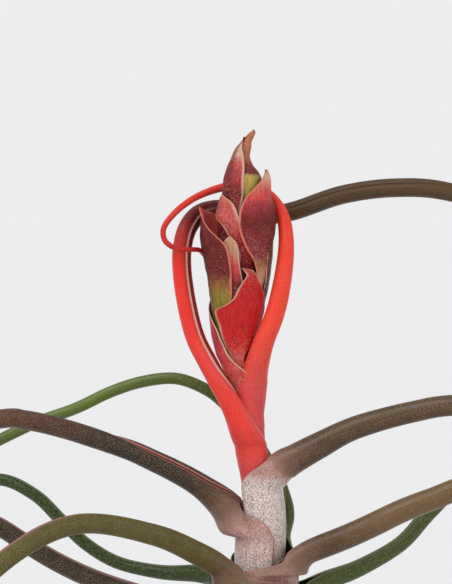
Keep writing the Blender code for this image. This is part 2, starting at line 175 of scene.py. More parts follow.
def curve_value(table, x):
    """The value at x on a soft curve through a table of (x, value) pairs, level at its ends."""
    if x <= table[0][0]:
        return table[0][1]
    if x >= table[-1][0]:
        return table[-1][1]
    k = next(i for i in range(len(table) - 1) if x <= table[i + 1][0])

    def slope(i):
        if i in (0, len(table) - 1):
            return 0.0
        before = (table[i][1] - table[i - 1][1]) / (table[i][0] - table[i - 1][0])
        after = (table[i + 1][1] - table[i][1]) / (table[i + 1][0] - table[i][0])
        return 0.0 if before * after <= 0 else 2 * before * after / (before + after)

    (x0, v0), (x1, v1) = table[k], table[k + 1]
    width = x1 - x0
    t = (x - x0) / width
    bend0, bend1 = slope(k) * width, slope(k + 1) * width
    return (
        v0 * (2 * t**3 - 3 * t**2 + 1) + bend0 * (t**3 - 2 * t**2 + t)
        + v1 * (3 * t**2 - 2 * t**3) + bend1 * (t**3 - t**2)
    )


def radial(azimuth):
    """The level direction at an azimuth."""
    return Vector((math.cos(math.radians(azimuth)), math.sin(math.radians(azimuth)), 0))


def neck_middle(height):
    """The middle of the stem, the neck and the spike, which lean a little."""
    return Vector((curve_value(LEAN, height), 0, height))


def finished_mesh(name, points, faces, facts):
    """A smooth-shaded mesh with the facts about each point that its finish reads: name -> list of numbers."""
    mesh = bpy.data.meshes.new(name)
    mesh.from_pydata([point * MM for point in points], [], faces)
    for fact_name, numbers in facts.items():
        mesh.attributes.new(fact_name, "FLOAT", "POINT").data.foreach_set("value", numbers)
    mesh.shade_smooth()
    mesh.update()
    return mesh


def place_piece(name, mesh, finish, stands_for):
    """Puts a piece in the scene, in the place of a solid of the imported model."""
    piece = bpy.data.objects.new(name, mesh)
    mesh.materials.append(finish)
    bpy.context.scene.collection.objects.link(piece)
    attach(piece, "root")
    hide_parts(stands_for)


def fact(tree, name):
    """A number that the mesh holds for each point."""
    made = tree.nodes.new("ShaderNodeAttribute")
    made.attribute_name = name
    return made.outputs["Fac"]


def place_in_object(tree):
    return tree.nodes.new("ShaderNodeTexCoord").outputs["Object"]


def sums(tree, operation, *values):
    return node(tree, "Math", dict(enumerate(values)), operation=operation)


def times(tree, a, b):
    return sums(tree, "MULTIPLY", a, b)


def between(tree, value, low, high, to_low=0.0, to_high=1.0):
    """Turns a value from its low to its high into a share, softly, and no further."""
    return node(
        tree, "MapRange",
        {"Value": value, "From Min": low, "From Max": high, "To Min": to_low, "To Max": to_high},
        interpolation_type="SMOOTHSTEP",
    )


def tinted(tree, share, below, above, way="MIX"):
    """One colour laid over another by a share from 0 to 1."""
    made = tree.nodes.new("ShaderNodeMix")
    made.data_type = "RGBA"
    made.blend_type = way
    for key, value in ((0, share), (6, below), (7, above)):
        if isinstance(value, bpy.types.NodeSocket):
            tree.links.new(value, made.inputs[key])
        else:
            made.inputs[key].default_value = value if key == 0 else (*value, 1)
    return made.outputs[2]


def colours_along(tree, share, stops):
    """Colours that follow each other along a share from 0 to 1: stops are (share, colour)."""
    made = tree.nodes.new("ShaderNodeValToRGB")
    elements = made.color_ramp.elements
    while len(elements) > 1:
        elements.remove(elements[-1])
    elements[0].position = stops[0][0]
    elements[0].color = (*stops[0][1], 1)
    for place, colour in stops[1:]:
        elements.new(place).color = (*colour, 1)
    tree.links.new(share, made.inputs[0])
    return made.outputs[0]


def new_finish(name, roughness, sheen=0.0, see_into=0.0, shine=0.3):
    """A material with the numbers that are the same all over it. Returns it and its tree."""
    finish = bpy.data.materials.new(name)
    finish.use_nodes = True
    shader = finish.node_tree.nodes["Principled BSDF"]
    shader.inputs["Roughness"].default_value = roughness
    shader.inputs["Specular IOR Level"].default_value = shine
    shader.inputs["Sheen Weight"].default_value = sheen
    shader.inputs["Sheen Roughness"].default_value = 0.4
    shader.inputs["Subsurface Weight"].default_value = see_into
    shader.inputs["Subsurface Radius"].default_value = (1.0, 0.25, 0.15)
    shader.inputs["Subsurface Scale"].default_value = 0.6 * MM
    return finish, finish.node_tree


def join_up(tree, colour, roughness, height, depth):
    """Gives a finish its colour and roughness, and a relief this many millimetres deep."""
    shader = tree.nodes["Principled BSDF"]
    tree.links.new(colour, shader.inputs["Base Color"])
    tree.links.new(roughness, shader.inputs["Roughness"])
    bump = node(tree, "Bump", {"Strength": 1.0, "Distance": depth * MM, "Height": height})
    tree.links.new(bump, shader.inputs["Normal"])


points = []
heights = []
rings = round(STEM_PROFILE[-1][0] / STEM_RING_STEP)
for ring in range(rings + 1):
    height = STEM_PROFILE[-1][0] * ring / rings
    woody = (1 - ramp(height, SCARS_TO - SCARS_FADE, SCARS_TO)) * ramp(height, 0, SCARS_FROM)
    scar = SCAR_DEPTH * math.cos(2 * math.pi * height / SCAR_PITCH) * woody
    for side in range(STEM_SIDES):
        ray = radial(360 * side / STEM_SIDES)
        knots = noise.noise(Vector((KNOTS_ROUND * ray.x, KNOTS_ROUND * ray.y, height * KNOTS_UP)))
        radius = curve_value(STEM_PROFILE, height) * (1 + KNOT_SHARE * knots) + scar
        points.append(neck_middle(height) + radius * ray)
        heights.append(height)
faces = [
    (r * STEM_SIDES + s, r * STEM_SIDES + (s + 1) % STEM_SIDES,
     (r + 1) * STEM_SIDES + (s + 1) % STEM_SIDES, (r + 1) * STEM_SIDES + s)
    for r in range(rings) for s in range(STEM_SIDES)
]
faces.append(tuple(reversed(range(STEM_SIDES))))
faces.append(tuple(rings * STEM_SIDES + s for s in range(STEM_SIDES)))
stem_mesh = finished_mesh("stem", points, faces, {"height": heights})

stem_finish, tree = new_finish("dry_and_fleshy_stem", 0.7)
bark = node(tree, "TexNoise", {"Scale": 700.0, "Detail": 5.0, "Vector": place_in_object(tree)})
skin = tinted(tree, between(tree, fact(tree, "height"), 10.0, 26.0), DRY_BROWN, STALK_RED)
skin = tinted(tree, times(tree, bark, 0.6), skin, CRACK_BROWN)
join_up(tree, skin, between(tree, bark, 0.3, 0.7, 0.55, 0.8), bark, 0.12)
place_piece("stem_and_stalk", stem_mesh, stem_finish, "flower_stem")


# The right-hand red leaf
# The innermost leaf grew on the stem, with its sheath hidden in the neck. Its rolled blade rises right of the
# spike, thins to a wire, passes behind it and curls at the left. Fleshy, coral red, and rose red at its base.
WALL = 0.6
LAYER = 0.9
BELLY_HEIGHT = 19.0
SWELL = ((BELLY_HEIGHT, 7.0), (28.0, 5.3), (37.0, 2.1), (46.0, 0.0))
INNERMOST_NECK_RADIUS = 1.75
LOWEST_BULB_POINT = 1.0
OUTERMOST_LAYER = 11
STEM_CLEARANCE = 0.3
STEEPEST_ROOT = -89.5
ROOT_STEP = 0.5
SLOPE_REACH = 0.2
SPARE_LAYER = 0.5
MOUTHS = (
    (39.2, 11), (41.0, 10), (43.0, 9), (45.2, 8), (47.4, 7), (49.6, 6), (52.0, 5), (54.4, 4),
    (57.0, 3), (66.0, 2), (75.0, 1), (84.0, 0),
)
MOUTH_DEPTH = 2.0
SPIKE_SIDE = (
    (82.0, 1.5), (88.0, 2.2), (93.0, 3.0), (97.0, 4.0), (101.0, 4.9),
    (112.0, 5.4), (118.0, 4.6), (124.0, 2.5),
)
SHEATH_WRAP = 120.0
BLADE_WRAP = 172.0
THROAT_WRAP = ((0.0, 120.0), (0.25, 100.0), (0.5, 84.0), (0.75, 122.0), (1.0, 162.0), (1.3, BLADE_WRAP))
THROAT_LENGTH_BY_RADIUS = 1.15
SHORTEST_THROAT = 3.5
THROAT_RINGS = 22
THROAT_ROOM = 1.04
THROAT_TILTS_OVER = 1.2
THROAT_NARROWS_BY = 0.95
THROAT_OPENS = 4
RING_ROOM = 0.3
THINNEST_SHARE = 0.5
GIRTH_PLACES = (0.0, 0.22, 0.72, 1.0)
LEAF_COLUMNS = 40
SHEATH_RING_STEP = 1.6
BLADE_RING_STEP = 1.5
BEND_LENGTH = 5.0
CURVE_STEPS = 40
UNDERSIDE_RINGS = 12
POINTED_END = 5.0
POINT_SHARE = 0.12
LEAF_EDGE_SHARE = 0.4
LEAF_EDGE_POWER = 6
EVEN_VEINS = 0.006
VEINS_ROUND = 14
UNEVENNESS = 0.02
UNEVEN_ROUND = 1.7
UNEVEN_ALONG = 0.09
NEXT_LEAF = 7.3
PAST_THE_TIP = 400
BAND_FADE = 12
MOTTLE_FADE = (3, 4)
COLOUR_DRIFT = 7.0
GROOVE_STRETCH = 0.05
SCALE_STRETCH = 0.6

CORAL = (0.90, 0.048, 0.025)
ROSE = (0.72, 0.060, 0.062)
DEEP_RED = (0.45, 0.012, 0.014)
PALE_RIM = (0.86, 0.50, 0.42)
STRAW = (0.85, 0.36, 0.16)
FLESH = (0.95, 0.24, 0.17)
SHADE = (0.02, 0.008, 0.005)


def smooth_line(route, step, bend_length=0.0):
    """A curve through the points, read at even steps: a list of (place, direction, length so far)."""
    route = [Vector(p) for p in route]
    ends = [2 * route[0] - route[1], *route, 2 * route[-1] - route[-2]]
    dense = []
    for a, b, c, d in zip(ends, ends[1:], ends[2:], ends[3:]):
        for k in range(CURVE_STEPS):
            t = k / CURVE_STEPS
            bend = (2 * a - 5 * b + 4 * c - d) * t**2
            turn = (3 * b - a - 3 * c + d) * t**3
            dense.append(0.5 * (2 * b + (c - a) * t + bend + turn))
    dense.append(route[-1])
    length = [0.0]
    measure = [0.0]
    last = dense[1] - dense[0]
    for a, b in zip(dense, dense[1:]):
        length.append(length[-1] + (b - a).length)
        measure.append(measure[-1] + (b - a).length + bend_length * last.angle(b - a))
        last = b - a
    steps = max(2, round(measure[-1] / step))
    found = []
    k = 0
    for ring in range(steps + 1):
        want = measure[-1] * ring / steps
        while k < len(dense) - 2 and measure[k + 1] < want:
            k += 1
        share = (want - measure[k]) / (measure[k + 1] - measure[k])
        place = dense[k].lerp(dense[k + 1], share)
        before, after = dense[max(0, k - 3)], dense[min(len(dense) - 1, k + 4)]
        found.append((place, (after - before).normalized(), mix(length[k], length[k + 1], share)))
    return found


def thin_sheet(name, rings, facts):
    """A closed sheet. Each ring holds (inner, outer) pairs from one margin to the other, and facts are per
    ring and column: name -> rows of numbers. The margins are rounded, and the two ends are closed."""
    columns = len(rings[0])
    loop = 2 * columns + 2
    points = []
    numbers = {fact_name: [] for fact_name in facts}
    numbers["inside"] = []
    for r, ring in enumerate(rings):
        inner = [pair[0] for pair in ring]
        outer = [pair[1] for pair in ring]
        last = (outer[-1] + inner[-1]) / 2
        first = (outer[0] + inner[0]) / 2
        thick = (outer[-1] - inner[-1]).length / 2
        last += (last - (outer[-2] + inner[-2]) / 2).normalized() * thick
        first += (first - (outer[1] + inner[1]) / 2).normalized() * thick
        points += [*outer, last, *reversed(inner), first]
        for fact_name, rows in facts.items():
            row = rows[r]
            numbers[fact_name] += [*row, row[-1], *reversed(row), row[0]]
        numbers["inside"] += [0.0] * columns + [0.5] + [1.0] * columns + [0.5]
    faces = [
        (r * loop + c, r * loop + (c + 1) % loop, (r + 1) * loop + (c + 1) % loop, (r + 1) * loop + c)
        for r in range(len(rings) - 1) for c in range(loop)
    ]
    for start, turn in ((0, -1), ((len(rings) - 1) * loop, 1)):
        for c in range(columns - 1):
            faces.append(tuple(start + i for i in (c, c + 1, 2 * columns - 1 - c, 2 * columns - c))[::turn])
        faces.append(tuple(start + i for i in (columns - 1, columns, columns + 1))[::turn])
        faces.append(tuple(start + i for i in (2 * columns, loop - 1, 0))[::turn])
    return finished_mesh(name, points, faces, numbers)


def sheath_radius(layer, height):
    """Inner radius of a sheath at a height above the belly."""
    return INNERMOST_NECK_RADIUS + LAYER * layer + curve_value(SWELL, height)


def sheath_profile(layer, top):
    """(height, inner radius, how far the surface faces up in degrees) from the sheath's root to its mouth."""
    wide = sheath_radius(layer, BELLY_HEIGHT)
    deep = BELLY_HEIGHT - LOWEST_BULB_POINT - LAYER * (OUTERMOST_LAYER - layer)
    root_angle = STEEPEST_ROOT
    while wide * math.cos(math.radians(root_angle)) < STEM_CLEARANCE + curve_value(
        STEM_PROFILE, BELLY_HEIGHT + deep * math.sin(math.radians(root_angle))
    ):
        root_angle += ROOT_STEP
    found = []
    for ring in range(UNDERSIDE_RINGS):
        angle = math.radians(root_angle * (1 - ring / UNDERSIDE_RINGS))
        facing = math.atan2(math.sin(angle) / deep, math.cos(angle) / wide)
        found.append((BELLY_HEIGHT + deep * math.sin(angle), wide * math.cos(angle), math.degrees(facing)))
    steps = round((top - BELLY_HEIGHT) / SHEATH_RING_STEP)
    for ring in range(steps + 1):
        height = mix(BELLY_HEIGHT, top, ring / steps)
        facing = 0.0
        if height > BELLY_HEIGHT + SLOPE_REACH:
            widens = sheath_radius(layer, height + SLOPE_REACH) - sheath_radius(layer, height - SLOPE_REACH)
            facing = -math.degrees(math.atan(widens / (2 * SLOPE_REACH)))
        found.append((height, sheath_radius(layer, height), facing))
    return found


def clear_of_neck(layer, point, share):
    """The point, pushed out from the neck's middle where the leaves inside it need the room."""
    if point.z > STEM_PROFILE[-1][0]:
        return point
    middle = neck_middle(point.z)
    away = point - middle
    occupied = curve_value([(height + MOUTH_DEPTH, n + SPARE_LAYER) for height, n in MOUTHS], point.z)
    if layer == 0 or point.z > MOUTHS[-1][0] + MOUTH_DEPTH:
        needed = max(curve_value(STEM_PROFILE, point.z), curve_value(SPIKE_SIDE, point.z)) + STEM_CLEARANCE
    else:
        room = mix(1.0, THROAT_ROOM, smooth(THROAT_OPENS * share))
        needed = sheath_radius(min(layer, occupied), point.z) * room
    if away.length >= needed:
        return point
    return middle + away.normalized() * needed


def leaf_mesh(name, layer, azimuth, leaves_neck_at, girth, route, roll=(), wraps=THROAT_WRAP):
    """One leaf from its broad sheath round the bulb to its tip. Lengths along it are 0 where the blade leaves
    the neck. The girth is its radius: one for each of the girth places, or (share of the blade, radius). The
    roll turns the slit about the blade: (millimetres along, degrees). The wraps say how far the blade goes
    round at each side: (share of the throat, degrees)."""
    if not isinstance(girth[0], tuple):
        girth = tuple(zip(GIRTH_PLACES, girth))
    out = radial(azimuth)
    rings, along_rows, across_rows, edge_rows = [], [], [], []

    def add_ring(middle, along, outward, radius, wrap, wall, facing, travelled, push):
        across = along.cross(outward)
        pairs, sideways, edges = [], [], []
        for column in range(LEAF_COLUMNS + 1):
            u = 2 * column / LEAF_COLUMNS - 1
            angle = math.radians(wrap) * u
            ray = math.cos(angle) * outward + math.sin(angle) * across
            spot = Vector((layer * NEXT_LEAF + UNEVEN_ROUND * math.cos(angle), UNEVEN_ROUND * math.sin(angle),
                           travelled * UNEVEN_ALONG))
            veins = EVEN_VEINS * radius * math.cos(angle * VEINS_ROUND)
            veins += UNEVENNESS * radius * noise.noise(spot)
            inner = middle + (radius + veins) * ray
            if push is not None:
                inner = clear_of_neck(layer, inner, push)
            normal = math.cos(math.radians(facing)) * ray + math.sin(math.radians(facing)) * along
            thick = wall * mix(1.0, LEAF_EDGE_SHARE, abs(u) ** LEAF_EDGE_POWER)
            pairs.append((inner, inner + thick * normal))
            sideways.append(math.radians(wrap) * u * (radius + wall))
            edges.append((1 - abs(u)) * math.radians(wrap) * (radius + wall))
        rings.append(pairs)
        along_rows.append([travelled] * (LEAF_COLUMNS + 1))
        across_rows.append(sideways)
        edge_rows.append(edges)

    profile = sheath_profile(layer, leaves_neck_at)
    travelled = 0.0
    lengths = [0.0]
    for (h0, r0, _), (h1, r1, _) in zip(profile, profile[1:]):
        travelled += math.hypot(h1 - h0, r1 - r0)
        lengths.append(travelled)
    for (height, radius, facing), reached in zip(profile, lengths):
        add_ring(neck_middle(height), UP, out, radius, SHEATH_WRAP, WALL, facing, reached - travelled, None)

    neck_radius = sheath_radius(layer, leaves_neck_at)
    line = (neck_middle(leaves_neck_at), *route)
    throat = THROAT_LENGTH_BY_RADIUS * neck_radius + SHORTEST_THROAT
    places = [p for p in smooth_line(line, throat / THROAT_RINGS)[1:] if p[2] < throat]
    blade = smooth_line(line, BLADE_RING_STEP, BEND_LENGTH)
    places += [p for p in blade if p[2] > throat + RING_ROOM]
    outward = out
    length = blade[-1][2]
    for place, direction, reached in places:
        share = reached / throat
        along = UP.lerp(direction, min(1.0, share / THROAT_TILTS_OVER)).normalized()
        outward = (outward - outward.dot(along) * along).normalized()
        point = ramp(length - reached, 0.0, POINTED_END)
        full = curve_value(girth, reached / length) * mix(POINT_SHARE, 1.0, point)
        wall = min(WALL, THINNEST_SHARE * full)
        radius = mix(neck_radius, full - wall, ramp(share, 0.0, THROAT_NARROWS_BY))
        turned = math.radians(curve_value(roll, reached)) if roll else 0.0
        facing_out = math.cos(turned) * outward + math.sin(turned) * along.cross(outward)
        add_ring(place, along, facing_out, radius, curve_value(wraps, share),
                 mix(WALL, wall, smooth(share)), 0.0, reached, share)
    mesh = thin_sheet(name, rings, {"along": along_rows, "across": across_rows, "edge": edge_rows})
    return mesh, -travelled, length


def leaf_finish(
    name, start, end, stops, dots, rim, inside, mottle, roughness=0.35, see_into=0.03, shine=0.38,
    bands=(), grooves=0.3, rim_until=PAST_THE_TIP,
):
    """Leaf skin. Stops are (millimetres along, colour), dots (colour, strength, how many a millimetre) of the
    fine scales, the rim (colour, width, strength) of the margin line, the mottle (colour, from, to, strength)
    of the sheath, and bands (colour, width, strength, side, until) that each lie along one margin."""
    finish, tree = new_finish(name, roughness, see_into=see_into, shine=shine)
    along, across, edge = fact(tree, "along"), fact(tree, "across"), fact(tree, "edge")
    where = place_in_object(tree)
    clouds = node(tree, "TexNoise", {"Scale": 260.0, "Detail": 4.0, "Vector": where})
    drift = times(tree, sums(tree, "SUBTRACT", clouds, 0.5), COLOUR_DRIFT)
    drifted = sums(tree, "ADD", along, drift)
    share = node(tree, "MapRange", {"Value": drifted, "From Min": start, "From Max": end})
    skin = colours_along(tree, share, [((place - start) / (end - start), colour) for place, colour in stops])
    flat = node(tree, "CombineXYZ", {0: across, 1: times(tree, along, GROOVE_STRETCH)})
    lines = node(tree, "TexNoise", {"Scale": 3.0, "Detail": 3.0, "Vector": flat})
    # The groove lines are darkened with painted shade.
    skin = tinted(tree, between(tree, lines, 0.45, 0.75, 0.0, grooves), skin, SHADE)
    colour, first, last, strength = mottle
    flecks = node(tree, "TexNoise", {"Scale": 3800.0, "Detail": 5.0, "Vector": where})
    begun = between(tree, along, first, first + MOTTLE_FADE[0])
    not_over = between(tree, along, last, last - MOTTLE_FADE[1])
    zone = times(tree, times(tree, begun, not_over), strength)
    spots = times(tree, between(tree, flecks, 0.46, 0.62), zone)
    skin = tinted(tree, spots, skin, colour)
    for colour, width, strength, side, until in bands:
        here = between(tree, times(tree, across, side), 0.0, 0.5, 0.0, strength)
        here = times(tree, here, between(tree, along, until, until - BAND_FADE))
        beside = times(tree, between(tree, edge, width, 0.5 * width), here)
        skin = tinted(tree, beside, skin, colour)
    colour, strength, many = dots
    grid = node(tree, "CombineXYZ", {0: across, 1: times(tree, along, SCALE_STRETCH)})
    cells = node(tree, "TexVoronoi", {"Scale": many, "Vector": grid}, voronoi_dimensions="2D")
    patches = node(tree, "TexNoise", {"Scale": 700.0, "Detail": 2.0, "Vector": where})
    cover = between(tree, patches, 0.3, 0.62, 0.25, 1.0)
    marks = times(tree, between(tree, cells, 0.45, 0.15), cover)
    skin = tinted(tree, times(tree, marks, strength), skin, colour)
    colour, width, strength = rim
    pale = between(tree, along, rim_until, rim_until - BAND_FADE, 0.0, strength)
    line = times(tree, between(tree, edge, width, 0.45 * width), pale)
    skin = tinted(tree, line, skin, colour)
    within = between(tree, fact(tree, "inside"), 0.6, 0.9)
    skin = tinted(tree, within, skin, inside)
    furrows = times(tree, lines, 2.0 * grooves)
    relief = sums(tree, "ADD", times(tree, marks, 0.6), furrows)
    join_up(tree, skin, between(tree, clouds, 0.3, 0.7, roughness - 0.06, roughness + 0.08), relief, 0.05)
    return finish


def grow_leaf(node_name, slot, shape, **looks):
    """Makes a leaf's mesh and finish, and puts it in the scene."""
    name = node_name + "_grown"
    mesh, start, end = leaf_mesh(name, *shape)
    place_piece(name, mesh, leaf_finish(node_name + "_skin", start, end, **looks), node_name)


RIGHT_ROUTE = (
    (-1.75, -0.1, 81.0), (-1.6, -0.4, 84.0), (-1.25, -1.0, 87.4), (-0.4, -2.3, 90.6),
    (0.7, -2.9, 94.0), (2.2, -2.8, 97.6), (3.3, -2.2, 101.2), (4.3, -1.6, 106.6),
    (4.7, -0.6, 112.0), (4.0, 1.8, 116.6),
    (1.6, 5.0, 120.1), (-1.8, 6.9, 121.6), (-4.5, 7.0, 121.9), (-7.2, 5.6, 121.4),
    (-9.9, 2.9, 120.5), (-12.6, -0.4, 119.1), (-15.3, -2.6, 116.9), (-17.2, -4.0, 114.3),
    (-17.0, -4.5, 112.0), (-15.1, -4.5, 110.6), (-12.9, -3.9, 110.4), (-11.0, -1.9, 110.3),
    (-10.4, 1.0, 109.6), (-9.6, 3.6, 108.0),
)
RIGHT_GIRTH = (
    (0.0, 2.5), (0.03, 2.65), (0.06, 2.7), (0.094, 2.75), (0.13, 2.35), (0.165, 2.05),
    (0.2, 1.85), (0.3, 1.7), (0.5, 1.1), (0.72, 0.62), (1.0, 0.42),
)
grow_leaf(
    "red_leaf_right", "red_leaf",
    (0, -35, 78.0, RIGHT_GIRTH, RIGHT_ROUTE, ((0, 0), (6, -5), (14, -25), (38, -25), (56, -55)),
     ((0.0, 120.0), (1.7, 122.0), (2.4, 140.0), (3.3, BLADE_WRAP))),
    stops=((-20, ROSE), (8, ROSE), (20, CORAL), (60, CORAL), (80, DEEP_RED)),
    dots=(STRAW, 0.2, 4.2), rim=(PALE_RIM, 0.25, 0.75), inside=DEEP_RED, mottle=(FLESH, -30, 34, 0.16),
    roughness=0.36, see_into=0.12, shine=0.22, grooves=0.08,
)


# The left-hand red leaf
# It grew on the stem too. It rises left of the spike, crosses behind it and goes on as a long brown wire.
# Its red part is fleshy and bright, with pale margins, a wine-red band beside one that is partly painted
# shade, and a carmine one opposite that is partly painted highlight.
BRIGHT_RED = (0.88, 0.036, 0.028)
WINE = (0.13, 0.010, 0.013)
CARMINE = (0.78, 0.080, 0.085)
WIRE_BROWN = (0.076, 0.040, 0.020)
WIRE_OLIVE = (0.12, 0.080, 0.028)
GOLD = (0.34, 0.22, 0.10)
LEFT_ROUTE = (
    (-3.1, -1.6, 79.2), (-5.3, -2.2, 83.2), (-7.4, -2.2, 86.6), (-9.5, -1.8, 90.4),
    (-11.6, -1.0, 94.6), (-13.1, -0.2, 100.3), (-14.0, 0.6, 106.6), (-13.9, 1.3, 111.0),
    (-12.8, 2.8, 114.6), (-10.4, 6.0, 117.0), (-6.0, 9.4, 117.6), (0.4, 10.6, 116.6),
    (6.0, 9.2, 117.2), (15.3, 7.0, 120.3), (25.0, 5.0, 121.5), (34.6, 3.5, 120.7),
    (50.0, 2.0, 116.0), (68.0, 2.0, 106.5), (84.0, 4.0, 93.0), (95.0, 7.0, 77.5),
    (98.0, 10.0, 63.0), (92.0, 12.0, 53.0),
)
LEFT_GIRTH = (
    (0.0, 2.9), (0.021, 2.75), (0.042, 2.25), (0.06, 1.92), (0.085, 1.78), (0.22, 1.75),
    (0.72, 1.7), (1.0, 0.6),
)
grow_leaf(
    "red_leaf_left", "red_leaf",
    (1, 215, 75.0, LEFT_GIRTH, LEFT_ROUTE,
     ((0, 0), (7, -15), (18, -82), (38, -82), (62, -92), (88, -96), (110, -165)),
     ((0.0, 120.0), (0.5, 118.0), (1.0, 135.0), (1.7, 172.0), (3.0, 177.0))),
    stops=((-20, ROSE), (-6, ROSE), (4, BRIGHT_RED), (36, BRIGHT_RED), (45, WINE), (56, WINE),
           (64, WIRE_BROWN), (170, WIRE_OLIVE)),
    dots=(GOLD, 0.2, 4.2), rim=(PALE_RIM, 0.26, 0.85), inside=DEEP_RED, mottle=(FLESH, -30, 24, 0.2),
    roughness=0.36, see_into=0.10, shine=0.22, grooves=0.1, rim_until=54,
    # The wine-red band is partly the far lip's colour and partly painted shade of the slit; the carmine band
    # is partly painted highlight on the lit side.
    bands=((WINE, 1.4, 0.8, -1, 60), (CARMINE, 2.2, 0.7, 1, 24)),
)


# The bronze leaves
# Long wiry leaves that grew on the stem one round the other, rolled almost shut, dark brown to olive with
# golden scales and a pink-edged slit. Their sheaths are pale and mottled at the neck, greener over the bulb.
SHEATH_WHITE = (0.92, 0.79, 0.74)
SHEATH_PINK = (0.62, 0.36, 0.31)
SHEATH_BROWN = (0.24, 0.13, 0.09)
PURPLE_BROWN = (0.22, 0.09, 0.085)
BULB_GREEN = (0.17, 0.19, 0.07)
BULB_SILVER = (0.36, 0.36, 0.24)
WIRE_DARK = (0.024, 0.014, 0.009)
WIRE_REDDISH = (0.13, 0.052, 0.030)
DARK_WINE = (0.070, 0.027, 0.018)
WIRE_BRONZE = (0.17, 0.092, 0.033)
OLIVE_LEAF = (0.090, 0.078, 0.008)
SLIT_PINK = (0.45, 0.16, 0.14)
DARK_HOLLOW = (0.05, 0.018, 0.013)
FULL_THROAT = ((0.0, 120.0), (0.6, 116.0), (1.1, 140.0), (1.7, BLADE_WRAP))
